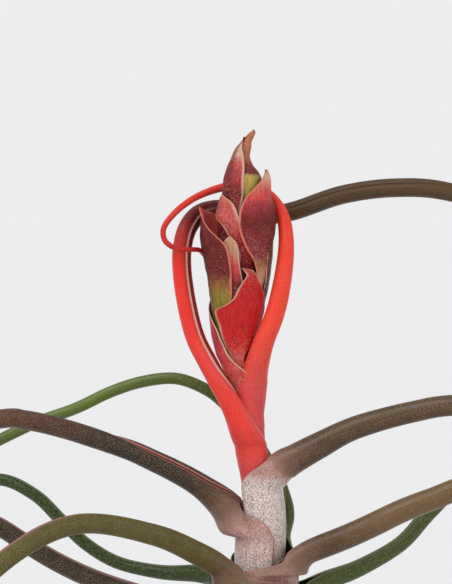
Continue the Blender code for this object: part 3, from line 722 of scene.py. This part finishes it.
BRONZE_LEAVES = {
    "leaf_01": ((
        2, -35, 67.4,
        ((0.0, 3.9), (0.025, 3.65), (0.043, 3.25), (0.06, 2.8), (0.08, 2.55), (0.1, 2.4),
         (0.13, 2.15), (0.22, 1.95), (0.72, 1.7), (1.0, 0.5)), (
            (2.2, -0.7, 70.5), (4.5, -1.3, 72.2), (6.6, -1.8, 73.2), (10.8, -2.6, 75.4), (15.8, -3.4, 78.0),
            (21.0, -4.0, 79.8), (27.5, -5.0, 81.5), (34.6, -6.0, 82.7), (50.0, -8.0, 83.0),
            (68.0, -11.0, 79.0), (86.0, -14.0, 70.0), (100.0, -17.0, 57.0), (108.0, -20.0, 43.0),
            (109.0, -24.0, 32.0), (103.0, -28.0, 26.0),
        ),
        ((0, 0), (10, 0), (25, -30)), FULL_THROAT,
    ), (
        (-60, BULB_GREEN), (-16, SHEATH_PINK), (-9, SHEATH_WHITE), (1, SHEATH_WHITE), (4, SHEATH_PINK),
        (6.5, SHEATH_BROWN), (10, WIRE_BROWN), (110, WIRE_OLIVE),
    )),
    "leaf_02": ((
        3, 175, 58.5,
        ((0.0, 4.3), (0.03, 4.0), (0.07, 2.9), (0.11, 2.2), (0.22, 1.9), (0.72, 1.6), (1.0, 0.5)), (
            (-3.0, 0.6, 61.0), (-6.6, 0.6, 64.6), (-11.0, 0.1, 68.0), (-15.1, -0.4, 70.4),
            (-19.3, -1.2, 72.5), (-23.4, -1.8, 74.4), (-30.2, -3.0, 76.8), (-35.8, -4.0, 78.6),
            (-41.9, -5.0, 80.0), (-46.8, -6.0, 80.2), (-64.0, -9.0, 77.0), (-82.0, -12.0, 67.0),
            (-98.0, -15.0, 52.0), (-108.0, -17.0, 38.0), (-117.0, -16.0, 30.0),
        ),
        ((0, 0), (7, -6), (15, -34), (27, -28), (38, 45)),
        ((0.0, 120.0), (0.35, 138.0), (0.7, 168.0), (1.1, BLADE_WRAP)),
    ), (
        (-60, BULB_GREEN), (-16, SHEATH_BROWN), (-6, SHEATH_WHITE), (3, SHEATH_PINK), (7, SHEATH_BROWN),
        (11, WIRE_BROWN), (20, WIRE_DARK), (32, WIRE_DARK), (44, DARK_WINE), (58, WIRE_REDDISH),
        (110, WIRE_OLIVE),
    )),
    "leaf_04": ((
        5, -20, 52.0, (2.4, 2.1, 1.6, 0.6), (
            (4.6, -1.6, 54.4), (9.4, -3.0, 56.6), (15.3, -4.2, 59.0), (19.8, -5.0, 61.1),
            (25.2, -5.8, 63.8), (30.6, -6.6, 66.0), (38.0, -8.0, 68.8), (50.0, -10.0, 70.5),
            (66.0, -13.0, 66.0), (82.0, -16.0, 54.0), (94.0, -19.0, 38.0), (102.0, -22.0, 22.0),
            (109.0, -25.0, 8.0), (116.0, -28.0, 2.0), (126.0, -31.0, 0.95),
        ),
        ((0, 0), (10, 0), (25, -20)),
    ), (
        (-60, BULB_GREEN), (-12, SHEATH_BROWN), (-3, SHEATH_PINK), (6, SHEATH_BROWN), (14, WIRE_BROWN),
        (26, WIRE_BRONZE), (80, WIRE_OLIVE), (120, WIRE_REDDISH),
    )),
    "leaf_05": ((
        6, 220, 49.6, (2.4, 2.0, 1.6, 0.6), (
            (-4.6, -3.7, 52.2), (-10.5, -8.6, 56.2), (-19.0, -15.0, 60.6), (-31.7, -23.0, 63.2),
            (-43.0, -30.0, 58.4), (-54.0, -36.0, 47.4), (-62.0, -41.0, 33.0), (-68.0, -45.0, 18.0),
            (-73.0, -48.0, 6.5), (-80.0, -51.0, 1.8), (-89.0, -55.0, 0.95),
        ),
    ), (
        (-60, BULB_GREEN), (-12, SHEATH_BROWN), (-2, SHEATH_BROWN), (10, WIRE_OLIVE), (20, OLIVE_LEAF),
        (70, OLIVE_LEAF), (100, WIRE_REDDISH),
    )),
    "leaf_08": ((
        9, 180, 43.0, (2.3, 1.9, 1.5, 0.5), (
            (-6.8, -0.6, 45.2), (-14.0, -2.4, 46.6), (-21.0, -4.5, 48.5), (-29.0, -7.0, 51.5),
            (-36.0, -9.0, 55.0), (-42.0, -10.5, 58.8), (-47.0, -11.5, 62.0), (-55.0, -13.0, 65.0),
            (-64.0, -15.0, 64.0), (-74.0, -17.0, 57.0), (-83.0, -19.0, 46.0), (-91.0, -21.0, 33.0),
            (-99.0, -23.0, 22.0), (-109.0, -24.0, 17.0),
        ),
    ), (
        (-60, BULB_GREEN), (-12, SHEATH_BROWN), (-2, SHEATH_BROWN), (8, WIRE_DARK), (60, WIRE_DARK),
        (110, WIRE_OLIVE),
    )),
    "leaf_09": ((
        10, -80, 41.0, (2.4, 1.9, 1.5, 0.6), (
            (1.2, -7.0, 43.2), (2.5, -14.5, 44.9), (4.4, -23.0, 46.4), (7.0, -33.0, 46.0),
            (10.0, -44.0, 41.5), (14.0, -55.0, 32.5), (18.5, -64.0, 20.5), (23.0, -71.0, 9.5),
            (28.5, -77.0, 2.6), (37.0, -83.0, 0.95),
        ),
    ), (
        (-60, BULB_SILVER), (-30, BULB_GREEN), (-14, SHEATH_BROWN), (-2, SHEATH_PINK), (8, SHEATH_BROWN),
        (16, WIRE_BROWN), (60, WIRE_OLIVE), (100, WIRE_REDDISH),
    )),
}
for node_name, (shape, stops) in BRONZE_LEAVES.items():
    grow_leaf(
        node_name, "bronze_leaf", shape, stops=stops, dots=(GOLD, 0.55, 4.4), rim=(SLIT_PINK, 0.32, 0.9),
        inside=DARK_HOLLOW, mottle=(PURPLE_BROWN, -40, 14, 0.7),
    )


# The green leaves
# Thinner wiry leaves that grew on the stem like the bronze ones, fleshy and rolled almost shut.
# Deep green with faint pale scales, and one of them turns paler along its blade.
MID_GREEN = (0.056, 0.080, 0.009)
DARK_GREEN = (0.038, 0.066, 0.007)
PALE_SCALES = (0.26, 0.28, 0.10)
LIGHT_GREEN = (0.135, 0.200, 0.025)
FOREST = (0.022, 0.048, 0.003)
GREENS = {
    "leaf_03": (MID_GREEN, LIGHT_GREEN), "leaf_06": (FOREST, FOREST),
    "leaf_07": (MID_GREEN, DARK_GREEN), "leaf_10": (MID_GREEN, DARK_GREEN),
}
GREEN_LEAVES = {
    "leaf_03": (4, 60, 54.4, (2.0, 1.2, 1.1, 0.4), (
        (3.0, 4.6, 57.6), (4.6, 7.6, 61.4), (4.0, 9.4, 65.4), (2.0, 10.6, 70.6),
        (-1.8, 11.2, 76.8), (-5.8, 11.8, 81.4), (-9.5, 12.4, 84.4), (-15.1, 13.0, 86.5),
        (-21.4, 14.0, 85.9), (-27.5, 15.0, 83.9), (-34.0, 15.6, 80.8), (-43.7, 16.0, 77.1),
        (-58.0, 17.0, 69.0), (-72.0, 18.0, 56.0), (-84.0, 20.0, 40.0), (-92.0, 23.0, 26.0),
        (-101.0, 27.0, 19.0),
    ), ((0, 0), (8, 0), (26, 120))),
    "leaf_06": (7, 140, 47.4, (2.2, 1.3, 1.2, 0.4), (
        (-4.6, 4.0, 49.6), (-10.5, 8.3, 51.0), (-18.0, 11.5, 51.0), (-26.0, 13.5, 52.5),
        (-32.0, 14.6, 55.9), (-36.6, 15.5, 60.2), (-41.4, 16.5, 64.7), (-48.0, 18.0, 67.5),
        (-56.0, 20.0, 65.6), (-64.0, 22.0, 58.0), (-70.0, 25.0, 46.0), (-76.0, 29.0, 33.0),
        (-84.0, 33.0, 22.0), (-95.0, 37.0, 17.0),
    )),
    "leaf_07": (8, 40, 45.2, (2.2, 1.5, 1.3, 0.4), (
        (5.6, 4.7, 47.4), (12.0, 9.2, 49.6), (18.5, 11.5, 51.8), (26.0, 13.0, 56.0),
        (31.0, 14.0, 61.3), (36.0, 15.0, 66.0), (44.0, 16.5, 71.5), (56.0, 18.5, 74.5),
        (70.0, 21.0, 71.0), (84.0, 24.0, 60.0), (94.0, 28.0, 46.0), (100.0, 33.0, 32.0),
        (104.0, 39.0, 20.0),
    )),
    "leaf_10": (11, 100, 39.2, (2.4, 1.9, 1.5, 0.6), (
        (-1.3, 7.5, 41.4), (-2.6, 15.5, 43.2), (-4.4, 25.0, 44.6), (-6.0, 36.0, 44.0),
        (-7.0, 48.0, 39.0), (-8.0, 59.0, 29.5), (-9.5, 68.0, 17.5), (-12.0, 75.0, 7.5),
        (-16.0, 81.0, 2.2), (-23.0, 88.0, 0.95),
    )),
}
for node_name, shape in GREEN_LEAVES.items():
    near, far = GREENS[node_name]
    grow_leaf(
        node_name, "green_leaf", shape,
        stops=((-60, BULB_SILVER), (-30, BULB_GREEN), (-14, SHEATH_BROWN), (-4, near), (36, near), (62, far),
               (110, DARK_GREEN)),
        dots=(PALE_SCALES, 0.4, 3.0), rim=(PALE_SCALES, 0.28, 0.5), inside=DARK_GREEN,
        mottle=(PURPLE_BROWN, -40, 2, 0.6),
    )


# The bracts
# Ten boat-shaped bracts stand round the stalk like roof tiles and close over the flower buds.
# Each is a fleshy velvety scale with a pale dry margin and a bent point, and it grew on the stalk.
BRACT_COLUMNS = 36
BRACT_RINGS = 72
BRACT_WALL = 0.5
BRACT_THIN_EDGE = 0.45
BRACT_EDGE_POWER = 4
LIFT_POWER = 5
BRACT_THIN_TIP = 0.5
KEEL_WIDTH = 0.16
WAVES = 0.12
LEAF_CONTACT = -0.2
PRESSING_STEP = 1.0
PRESSING_UP_TO = 116.0
PRESSING_LENGTH = 45.0
RIGHT_LENGTH = 101.0
LEFT_LENGTH = 215.0
RIGHT_PRESSES_FROM = 90.5
LEFT_PRESSES_FROM = 96.0

CRIMSON = (0.60, 0.012, 0.012)
MAROON = (0.15, 0.007, 0.008)
BLACK_RED = (0.045, 0.005, 0.005)
PINK = (0.62, 0.085, 0.070)
MAUVE = (0.48, 0.040, 0.070)
BEIGE = (0.74, 0.44, 0.31)
DULL_BEIGE = (0.60, 0.33, 0.19)
SALMON = (0.78, 0.23, 0.15)
TAN = (0.50, 0.18, 0.08)
RUSSET = (0.26, 0.03, 0.02)
DUSKY_ROSE = (0.42, 0.028, 0.036)
WINE_RED = (0.23, 0.016, 0.020)
OLIVE = (0.32, 0.15, 0.035)
LIME = (0.27, 0.21, 0.018)
YELLOW_OLIVE = (0.55, 0.42, 0.085)
# Dark brown for the bracts' insides and the strip behind the right-hand bracts, partly their own colour and
# partly painted shade.
HOLLOW_BROWN_AND_PAINTED_SHADE = (0.11, 0.025, 0.014)
FROST = (0.76, 0.38, 0.31)


def through(values, t):
    """The value at t, counted in stations, on a soft curve through the values."""
    k = min(int(t), len(values) - 2)
    t -= k
    b, c = values[k], values[k + 1]
    a = values[k - 1] if k else 2 * b - c
    d = values[k + 2] if k + 2 < len(values) else 2 * c - b
    return 0.5 * (2 * b + (c - a) * t + (2 * a - 5 * b + 4 * c - d) * t**2 + (3 * b - a - 3 * c + d) * t**3)


PRESSING_LEAVES = [
    (place, curve_value(girth, reached / length) + LEAF_CONTACT)
    for route, girth, length, lowest in (
        (RIGHT_ROUTE, RIGHT_GIRTH, RIGHT_LENGTH, RIGHT_PRESSES_FROM),
        (LEFT_ROUTE, LEFT_GIRTH, LEFT_LENGTH, LEFT_PRESSES_FROM),
    )
    for place, _, reached in smooth_line(route, PRESSING_STEP)
    if lowest < place.z < PRESSING_UP_TO and reached < PRESSING_LENGTH
]


def pressed_in(point):
    """How far the red leaves beside the spike press a point of a bract aside."""
    for middle, radius in PRESSING_LEAVES:
        away = point - middle
        if away.length < radius:
            return away.normalized() * (radius - away.length)
    return Vector((0, 0, 0))


def bract_mesh(name, stations, lift_left=0.0, lift_right=0.0, keel=0.25):
    """A bract from its root on the stalk to its point. Each station gives a height and how far round from the
    front, first for the left and then for the right margin, and last how far out the bract stands."""
    left_height, left_turn, right_height, right_turn, reach = zip(*stations)
    rings, share_rows, side_rows, edge_rows = [], [], [], []
    for ring in range(BRACT_RINGS + 1):
        share = ring / BRACT_RINGS
        t = share * (len(stations) - 1)
        low, high = through(left_height, t), through(right_height, t)
        left, right = through(left_turn, t), through(right_turn, t)
        radius = through(reach, t)
        pairs, edges, sides = [], [], []
        for column in range(BRACT_COLUMNS + 1):
            across = column / BRACT_COLUMNS
            u = 2 * across - 1
            height = mix(low, high, across)
            ray = radial(mix(left, right, across) - 90)
            ridge = keel * math.exp(-(u / KEEL_WIDTH) ** 2) * ramp(share, 0.2, 0.6)
            lift = (lift_left if u < 0 else lift_right) * abs(u) ** LIFT_POWER * ramp(share, 0.15, 0.5)
            wave = WAVES * noise.noise(Vector((radius, height * 0.5, u * 2.0)))
            outer = neck_middle(height) + (radius + ridge + lift + wave) * ray
            thin_tip = mix(1.0, BRACT_THIN_TIP, ramp(share, 0.8, 1.0))
            wall = BRACT_WALL * mix(1.0, BRACT_THIN_EDGE, abs(u) ** BRACT_EDGE_POWER) * thin_tip
            outer += pressed_in(outer)
            pairs.append((outer - wall * ray, outer))
            edges.append((1 - abs(u)) * math.radians(abs(right - left)) / 2 * radius)
            sides.append(u)
        rings.append(pairs)
        share_rows.append([share] * (BRACT_COLUMNS + 1))
        side_rows.append(sides)
        edge_rows.append(edges)
    return thin_sheet(name, rings, {"share": share_rows, "side": side_rows, "edge": edge_rows})


def bract_finish(name, stops, rims, frost, shade=None, inside=HOLLOW_BROWN_AND_PAINTED_SHADE, rim_colour=BEIGE):
    """Velvety skin: colours along the bract, a pale margin of its own width at each side, fine pale scales
    that stand thicker in places (share along, strength), and one side darker, partly its own colour and
    partly painted shade, which the shade gives as (colour, from side, to side, strength)."""
    finish, tree = new_finish(name, 0.5, sheen=0.03, see_into=0.08, shine=0.2)
    where = place_in_object(tree)
    share, side, edge = fact(tree, "share"), fact(tree, "side"), fact(tree, "edge")
    clouds = node(tree, "TexNoise", {"Scale": 480.0, "Detail": 4.0, "Vector": where})
    drift = sums(tree, "SUBTRACT", clouds, 0.5)
    skin = colours_along(tree, sums(tree, "ADD", share, times(tree, drift, 0.12)), stops)
    # One side is darkened, partly its own colour and partly painted shade.
    if shade:
        colour, start, end, strength = shade
        darker = between(tree, sums(tree, "ADD", side, times(tree, drift, 0.5)), start, end)
        skin = tinted(tree, times(tree, darker, strength), skin, colour)
    stretched = node(tree, "VectorMath", {0: where, 1: (2400.0, 2400.0, 300.0)}, operation="MULTIPLY")
    lines = node(tree, "TexNoise", {"Scale": 1.0, "Detail": 2.0, "Vector": stretched})
    skin = tinted(tree, between(tree, lines, 0.4, 0.75, 0.0, 0.4), skin, BLACK_RED)
    specks = node(tree, "TexVoronoi", {"Scale": 4300.0, "Vector": where}, feature="F1")
    patches = node(tree, "TexNoise", {"Scale": 500.0, "Detail": 3.0, "Vector": where})
    cover = times(tree, between(tree, patches, 0.35, 0.65, 0.3, 1.0), colours_along(
        tree, share, [(place, (strength,) * 3) for place, strength in frost]))
    dots = times(tree, between(tree, specks, 0.50, 0.2), cover)
    skin = tinted(tree, dots, skin, FROST)
    left, right = rims
    width = node(tree, "MapRange", {
        "Value": side, "From Min": -0.1, "From Max": 0.1, "To Min": left, "To Max": right})
    reached = sums(tree, "DIVIDE", sums(tree, "ADD", edge, times(tree, drift, 0.5)), width)
    skin = tinted(tree, between(tree, reached, 1.3, 0.1, 0.0, 0.85), skin, rim_colour)
    within = between(tree, fact(tree, "inside"), 0.6, 0.9)
    skin = tinted(tree, within, skin, inside)
    relief = sums(tree, "ADD", times(tree, dots, 0.5), times(tree, lines, 0.7))
    join_up(tree, skin, between(tree, clouds, 0.3, 0.7, 0.42, 0.6), relief, 0.07)
    return finish


BRACTS = {
    "bract_back": (
        ((86, 110, 86, 250, 1.8), (92, 112, 92, 246, 3.0), (98, 115, 98, 243, 3.9), (103, 118, 103, 240, 4.6),
         (107.5, 120, 107.5, 236, 5.2), (111.5, 124, 111.5, 232, 5.5), (115, 135, 115, 222, 5.4),
         (118, 155, 118, 205, 5.1), (120, 180, 120, 180, 5.0)),
        {},
        {"stops": ((0.0, MAUVE), (0.4, CRIMSON), (0.9, MAROON), (1.0, PINK)), "rims": (0.4, 0.4),
         "frost": ((0.0, 0.5), (1.0, 0.4))},
    ),
    "bract_lowest": (
        ((84, -170, 84, 60, 2.3), (86.5, -172, 87.0, 30, 2.9), (88.0, -174, 88.4, 10, 3.4),
         (90.0, -176, 89.9, -14, 3.7), (92.0, -176, 91.5, -28, 4.1), (94.0, -174, 93.6, -38, 4.45),
         (96.5, -170, 95.8, -48, 4.7), (98.6, -160, 97.6, -64, 4.95), (100.2, -140, 99.4, -86, 5.1),
         (101.4, -112, 101.4, -112, 5.25)),
        {"keel": 0.0},
        {"stops": ((0.0, PINK), (0.35, ROSE), (0.6, MAUVE), (1.0, MAUVE)), "rims": (0.2, 0.3),
         "frost": ((0.0, 0.9), (0.4, 0.75), (0.6, 0.2), (1.0, 0.2))},
    ),
    # This bract's dark olive-brown and maroon are partly its own colour and partly painted shade, as it lies
    # in shadow behind the right-hand bracts.
    "bract_right": (
        ((86, 60, 86, 180, 1.9), (92, 75, 92, 175, 3.3), (98, 72, 98, 170, 4.6), (103, 62, 103, 165, 5.35),
         (107.5, 60, 107.5, 160, 5.9), (111.5, 60, 111.5, 155, 6.25), (114.5, 70, 114.5, 145, 6.3),
         (117, 95, 117, 130, 5.9), (118.8, 110, 118.8, 110, 5.4)),
        {},
        {"stops": ((0.0, OLIVE), (0.4, HOLLOW_BROWN_AND_PAINTED_SHADE), (0.7, MAROON), (1.0, MAROON)), "rims": (0.04, 0.04),
         "frost": ((0.0, 0.2), (1.0, 0.2))},
    ),
    "bract_left": (
        ((90, -150, 90, -30, 2.4), (96, -150, 96, -18, 3.9), (101.2, -150, 101.2, -13.6, 4.9),
         (104.8, -150, 104.8, -14, 5.55), (108.4, -150, 108.4, -15, 6.2), (111.2, -150, 110.9, -20, 6.6),
         (113.6, -148, 112.6, -34, 6.8), (115.6, -146, 114.2, -53, 6.95), (116.8, -136, 115.8, -70, 7.1),
         (117.5, -112, 117.0, -82, 7.4), (118.0, -90, 118.0, -90, 7.75)),
        {"lift_right": 0.15},
        {"stops": ((0.0, LIME), (0.2, LIME), (0.27, OLIVE), (0.34, MAROON), (0.6, MAROON), (0.8, MAROON),
                   (0.92, CRIMSON), (1.0, SALMON)),
         "rims": (0.15, 0.32), "rim_colour": SALMON,
         "frost": ((0.0, 0.1), (0.3, 0.35), (0.6, 0.25), (1.0, 0.2)),
         # Its inside is painted lighter than its own colour, as painted light on a hollow that lies in shade.
         "shade": (BLACK_RED, 0.5, -0.1, 0.8), "inside": (0.75, 0.10, 0.075)},
    ),
    "bract_front_upper": (
        ((94, -40, 94, 40, 3.0), (100, -36, 100, 25, 4.4), (104, -34, 104, 10, 5.0),
         (107.5, -34, 107.5, 1, 5.45), (110.2, -33, 110.0, -1, 5.65), (111.8, -27, 111.6, -5, 5.75),
         (112.9, -16, 112.9, -16, 5.8)),
        {"keel": 0.0},
        {"stops": ((0.0, MAROON), (0.35, WINE_RED), (0.5, ROSE), (0.66, DULL_BEIGE), (1.0, DULL_BEIGE)),
         "rims": (0.2, 0.25), "frost": ((0.0, 0.5), (1.0, 0.7))},
    ),
    "bract_left_upper": (
        ((105, -10, 105, 60, 3.8), (108.5, 2, 108, 50, 4.6), (110.6, -4, 110.4, 42, 5.0),
         (112.4, -17, 112.8, 24, 5.1), (114.6, -38, 115.0, 4, 5.0), (116.4, -72, 116.4, -6, 4.75),
         (117.9, -80, 117.6, -14, 4.55), (119.4, -78, 118.9, -28, 4.5), (120.4, -57, 120.4, -57, 4.55)),
        {"keel": 0.1, "lift_right": 0.2},
        {"stops": ((0.0, MAROON), (0.35, CRIMSON), (0.5, PINK), (0.8, PINK), (1.0, SALMON)),
         "rims": (0.2, 0.7), "frost": ((0.0, 0.4), (0.5, 0.7), (1.0, 0.6)),
         "shade": (MAROON, 0.0, -0.9, 0.45)},
    ),
    "bract_top_right": (
        ((110, 0, 110, 110, 3.0), (116, -2, 116, 130, 3.4), (120, -4, 120, 140, 3.5),
         (122.8, -6, 122.8, 140, 3.5), (124.2, -8, 124.2, 140, 2.95), (125.6, -20, 125.6, 140, 1.8),
         (127.0, -70, 127.0, 140, 1.2),
         (128.6, -90, 128.6, 140, 1.3), (129.8, -80, 129.8, 130, 0.85), (131.0, -60, 131.0, 110, 0.7),
         (131.95, 30, 131.95, 30, 0.55)),
        {"keel": 0.0},
        {"stops": ((0.0, LIME), (0.16, YELLOW_OLIVE), (0.33, YELLOW_OLIVE), (0.38, MAROON), (0.5, RUSSET),
                   (0.62, TAN), (1.0, TAN)),
         "rims": (0.1, 0.15), "frost": ((0.0, 0.15), (0.3, 0.5), (0.45, 0.3), (1.0, 0.1)),
         "shade": (BLACK_RED, 0.35, 0.8, 0.7)},
    ),
    "bract_top": (
        ((108, -100, 108, 10, 3.6), (113, -140, 113, 2, 4.0), (117.8, -165, 117.8, -4, 4.1),
         (120.6, -170, 120.6, -2, 3.95), (123, -170, 123, 1.5, 3.5), (125, -168, 125, 4, 2.9),
         (127, -160, 127, 0, 2.1), (128.8, -140, 128.6, -14, 1.5), (129.8, -115, 129.7, -37, 1.15),
         (130.6, -64, 130.6, -64, 1.0)),
        {"lift_right": 0.35, "keel": 0.0},
        {"stops": ((0.0, MAROON), (0.25, WINE_RED), (0.33, MAROON), (0.42, DUSKY_ROSE), (0.52, DUSKY_ROSE),
                   (0.6, PINK), (0.7, BEIGE), (0.9, BEIGE), (1.0, TAN)),
         "rims": (0.12, 0.35),
         "frost": ((0.0, 0.3), (0.25, 0.5), (0.5, 0.35), (0.7, 0.9), (0.9, 0.8), (1.0, 0.2)),
         "shade": (MAROON, 0.75, 0.3, 0.8)},
    ),
    "bract_right_upper": (
        ((98, 20, 98, 80, 3.2), (102, 32, 102, 68, 4.6), (105.5, 36, 105.5, 68, 5.45),
         (108.0, 29, 108.5, 68, 5.95), (110.4, 14, 111.2, 74, 6.3), (112.8, 4, 113.8, 86, 6.5),
         (115.2, -1.5, 116.2, 98, 6.4),
         (117.6, -2, 118.2, 110, 5.75), (119.4, 3, 119.8, 118, 5.0), (121.0, 19, 121.4, 118, 5.0),
         (122.4, 36, 122.9, 110, 5.0), (123.6, 50, 123.8, 100, 4.8), (124.7, 68, 124.7, 68, 4.55)),
        {"lift_left": 0.15},
        # The maroon band about halfway along is painted shade under a fold of the bract.
        {"stops": ((0.0, OLIVE), (0.16, DULL_BEIGE), (0.23, OLIVE), (0.3, WINE_RED), (0.42, WINE_RED),
                   (0.48, MAROON), (0.54, WINE_RED), (0.62, DUSKY_ROSE), (0.7, ROSE), (0.8, SALMON),
                   (0.9, BEIGE)),
         "rims": (0.28, 0.1), "rim_colour": SALMON,
         "frost": ((0.0, 0.5), (0.3, 0.7), (0.45, 0.3), (0.5, 0.15), (0.6, 0.2), (0.7, 0.5), (1.0, 0.3)),
         "shade": (BLACK_RED, -0.1, 0.7, 0.6)},
    ),
    "bract_front": (
        ((85, -60, 85, 75, 1.6), (88, -35, 88, 70, 2.3), (90.6, -27.6, 90.6, 72, 3.0),
         (93.6, -40, 93.6, 78, 3.75), (96.7, -45, 96.7, 82, 4.4), (99.3, -50, 99.4, 82, 4.95),
         (100.4, -26, 101.2, 72, 5.15),
         (101.6, -8, 103.2, 54, 5.4), (103.4, 0, 104.7, 41, 5.65), (105.3, 11, 105.9, 31, 5.95),
         (106.0, 12.5, 106.7, 23, 6.1), (107.15, 3.6, 107.15, 3.6, 6.3)),
        {"keel": 0.12, "lift_left": 0.2},
        {"stops": ((0.0, PINK), (0.18, PINK), (0.27, CRIMSON), (0.8, CRIMSON), (0.93, PINK), (1.0, PINK)),
         "rims": (0.45, 0.1),
         "frost": ((0.0, 0.9), (0.24, 0.8), (0.32, 0.12), (0.6, 0.1), (0.8, 0.45), (1.0, 0.3))},
    ),
}
for name, (stations, form, looks) in BRACTS.items():
    place_piece(name, bract_mesh(name, stations, **form), bract_finish(name + "_skin", **looks),
                "flower_stem")
